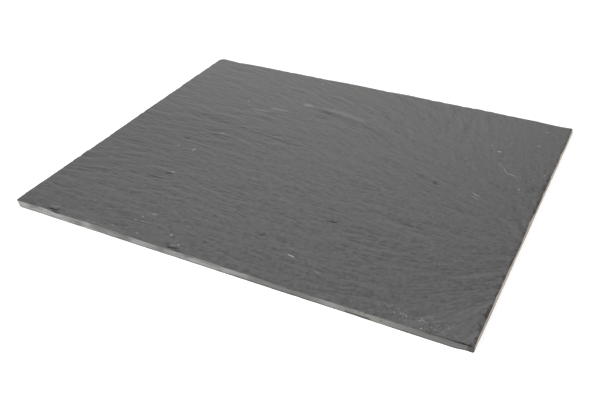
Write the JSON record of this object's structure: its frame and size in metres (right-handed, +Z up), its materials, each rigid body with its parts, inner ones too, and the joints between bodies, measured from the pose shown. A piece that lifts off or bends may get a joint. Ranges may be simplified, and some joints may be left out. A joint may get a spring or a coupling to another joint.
{
  "type": "slate slab",
  "caption": "Thin rectangular sheet of riven slate with a naturally split top face and hand-dressed, lightly chipped edges.",
  "frame": {"origin": "middle of the flat underside", "axes": "+X along the long front edge from left to right, +Y from the front edge to the back edge, +Z up out of the riven top face"},
  "size_m": [0.3248, 0.2679, 0.0047],
  "materials": {
    "slate": "riven, matt with a faint sheen, paler and rougher on the broken edges"
  },
  "bodies": {
    "root": {"slate_slab": "slate"}
  },
  "joints": []
}
